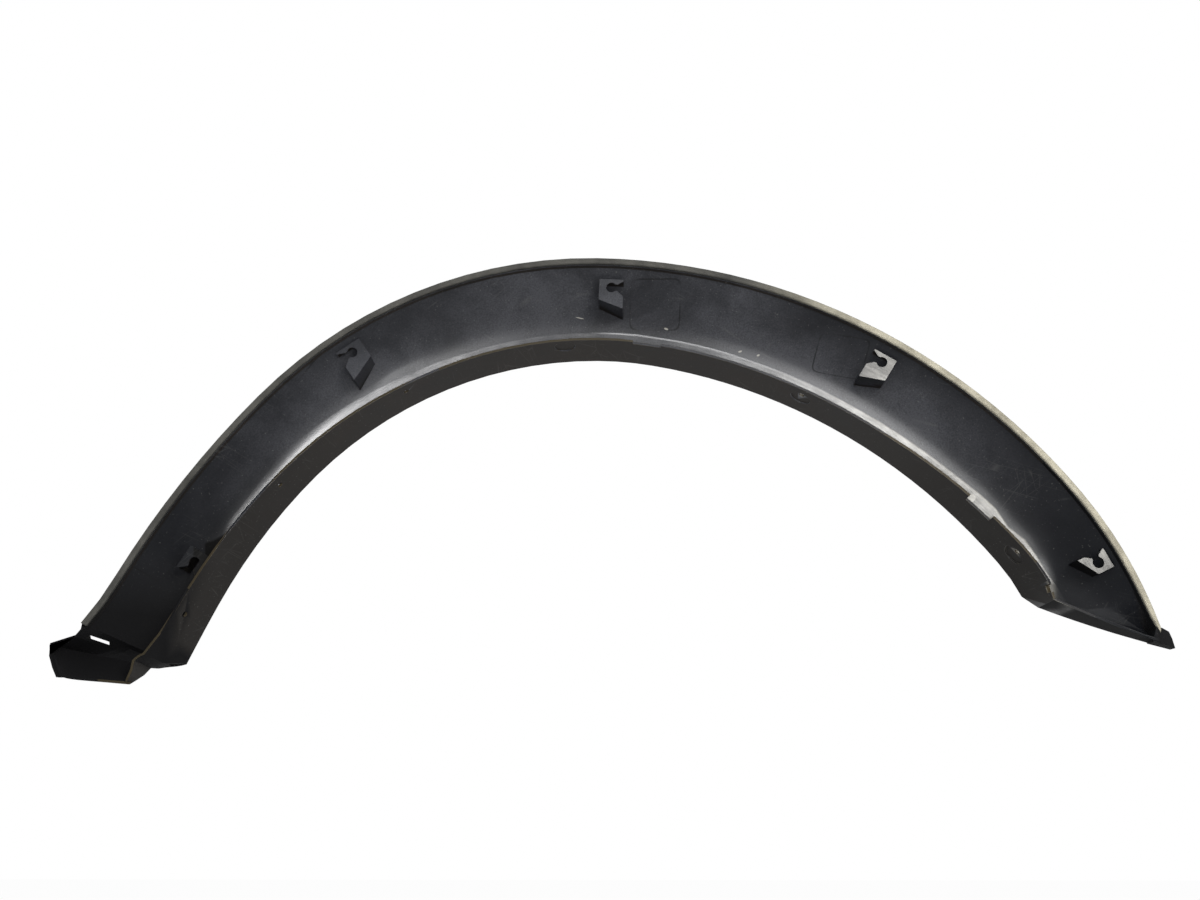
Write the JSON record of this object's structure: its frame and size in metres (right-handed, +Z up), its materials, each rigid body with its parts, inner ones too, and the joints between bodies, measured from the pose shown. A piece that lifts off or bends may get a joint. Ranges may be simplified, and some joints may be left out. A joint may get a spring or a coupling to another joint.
{
  "type": "wheel arch trim",
  "caption": "Curved moulded trim for the edge of a car's wheel opening, with clip towers inside, a return flange and a soft seal along its outer edge.",
  "frame": {"origin": "centre of the crown clip seat, on the body side of its plate", "axes": "+X along the car to the right in the picture, +Y out of the body towards the visible face, +Z up as fitted"},
  "size_m": [1.006, 0.0559, 0.4085],
  "materials": {
    "moulding": "satin moulded polypropylene, black, scuffed on the inside",
    "seal": "soft grey foam rubber strip, matt"
  },
  "bodies": {
    "root": {"arch_moulding": "moulding", "edge_seal": "seal"}
  },
  "joints": []
}
